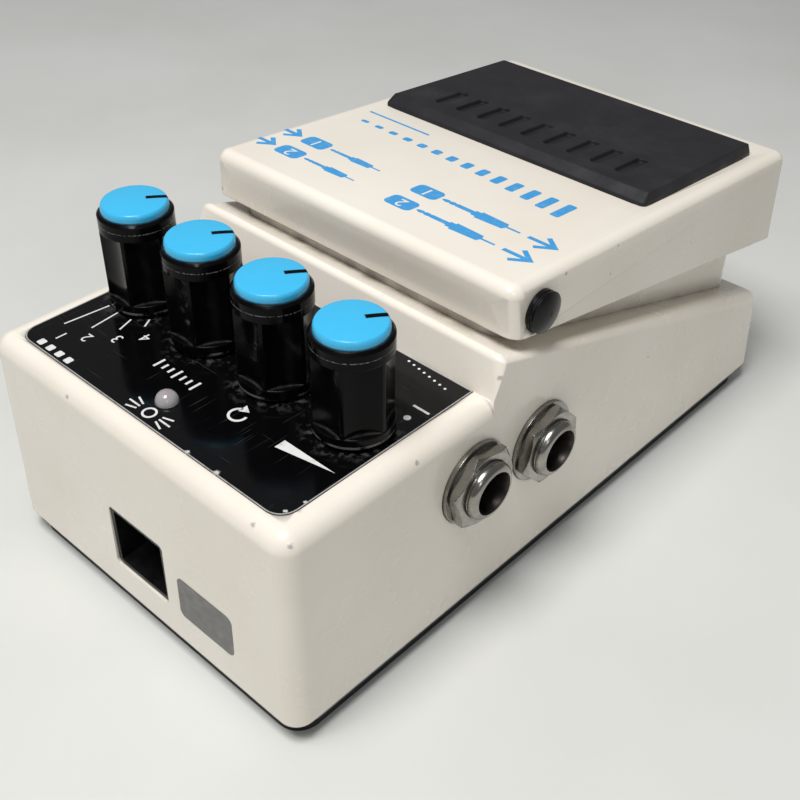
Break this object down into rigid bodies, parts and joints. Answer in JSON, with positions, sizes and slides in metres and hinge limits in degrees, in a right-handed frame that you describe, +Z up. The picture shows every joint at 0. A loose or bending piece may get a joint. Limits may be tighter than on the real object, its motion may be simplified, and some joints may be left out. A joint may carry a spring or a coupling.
{
  "type": "digital delay pedal",
  "caption": "Compact foot pedal: cast case with a row of knobs on a low panel, a hinged sprung treadle over a foot switch, phone jacks in both sides and a power inlet behind.",
  "frame": {"origin": "middle of the rubber mat's underside", "axes": "+Z up, +Y from the treadle's front towards the control panel and the back wall, +X to the right of a player who faces +Y"},
  "size_m": [0.0762, 0.129, 0.0582],
  "materials": {
    "cream_enamel": "semi-gloss enamel on a casting",
    "plain_steel": "plain steel",
    "rubber": "matt moulded rubber",
    "nickel": "nickel plate",
    "panel_black": "glossy printed sheet",
    "lamp": "milky clear resin",
    "black_nylon": "moulded nylon",
    "white_acetal": "smooth acetal",
    "battery_jacket": "printed jacket",
    "knob_black": "glossy moulded plastic",
    "knob_blue": "satin moulded plastic",
    "pot_housing": "moulded housing",
    "board_green": "solder mask",
    "chip_black": "moulded resin"
  },
  "bodies": {
    "case": {"chassis": "cream_enamel", "treadle_well": "cream_enamel", "bottom_plate": "plain_steel", "base_mat": "rubber", "bottom_screws": "nickel", "panel_sheet": "panel_black", "status_led": "lamp", "hinge_shaft": "plain_steel", "guide_bush": "black_nylon", "return_spring": "plain_steel", "foot_switch": "black_nylon", "battery": "battery_jacket", "battery_snap": "black_nylon", "pot_nuts": "nickel", "jack_nuts": "nickel", "jack_washers": "nickel", "power_socket": "black_nylon", "power_pin": "nickel", "main_board": "board_green", "control_board": "board_green", "board_chips": "chip_black", "board_screws": "nickel", "level_pot": "pot_housing", "feedback_pot": "pot_housing", "time_pot": "pot_housing", "mode_pot": "pot_housing", "output_jack_1": "black_nylon", "output_sleeve_1": "nickel", "output_jack_2": "black_nylon", "output_sleeve_2": "nickel", "input_jack_1": "black_nylon", "input_sleeve_1": "nickel", "input_jack_2": "black_nylon", "input_sleeve_2": "nickel"},
    "treadle": {"treadle": "cream_enamel", "treadle_pad": "rubber", "hinge_cap_left": "black_nylon", "hinge_cap_right": "black_nylon"},
    "thumbscrew": {"thumbscrew_grip": "black_nylon", "thumbscrew_shank": "plain_steel"},
    "plunger": {"switch_plunger": "white_acetal"},
    "level_control": {"level_knob": "knob_black", "level_cap": "knob_blue", "level_shaft": "plain_steel"},
    "feedback_control": {"feedback_knob": "knob_black", "feedback_cap": "knob_blue", "feedback_shaft": "plain_steel"},
    "time_control": {"time_knob": "knob_black", "time_cap": "knob_blue", "time_shaft": "plain_steel"},
    "mode_control": {"mode_knob": "knob_black", "mode_cap": "knob_blue", "mode_shaft": "plain_steel"}
  },
  "joints": [
    {"name": "treadle_press", "type": "hinge", "parent": "case", "child": "treadle", "pos_m": [0, 0.0109, 0.0502], "axis": [1, 0, 0], "range_deg": [0, 3.5], "stiffness_Nm_per_rad": 2, "springref_deg": -17.19, "deforming": ["return_spring"]},
    {"name": "plunger_slide", "type": "slide", "parent": "case", "child": "plunger", "axis": [0, 0, -1], "range_m": [0, 0.00287]},
    {"name": "thumbscrew_turn", "type": "hinge", "parent": "treadle", "child": "thumbscrew", "pos_m": [0, -0.0636, 0.0365], "axis": [0, -1, 0], "continuous": true},
    {"name": "level_turn", "type": "hinge", "parent": "case", "child": "level_control", "pos_m": [-0.02329, 0.0396, 0.05], "axis": [0, 0, -1], "range_deg": [0, 300]},
    {"name": "feedback_turn", "type": "hinge", "parent": "case", "child": "feedback_control", "pos_m": [-0.00777, 0.0396, 0.05], "axis": [0, 0, -1], "range_deg": [0, 300]},
    {"name": "time_turn", "type": "hinge", "parent": "case", "child": "time_control", "pos_m": [0.00777, 0.0396, 0.05], "axis": [0, 0, -1], "range_deg": [0, 300]},
    {"name": "mode_turn", "type": "hinge", "parent": "case", "child": "mode_control", "pos_m": [0.02329, 0.0396, 0.05], "axis": [0, 0, -1], "range_deg": [0, 300]}
  ],
  "couplings": [
    {"joint": "plunger_slide", "follows": "treadle_press", "m_per_rad": 0.046904}
  ]
}
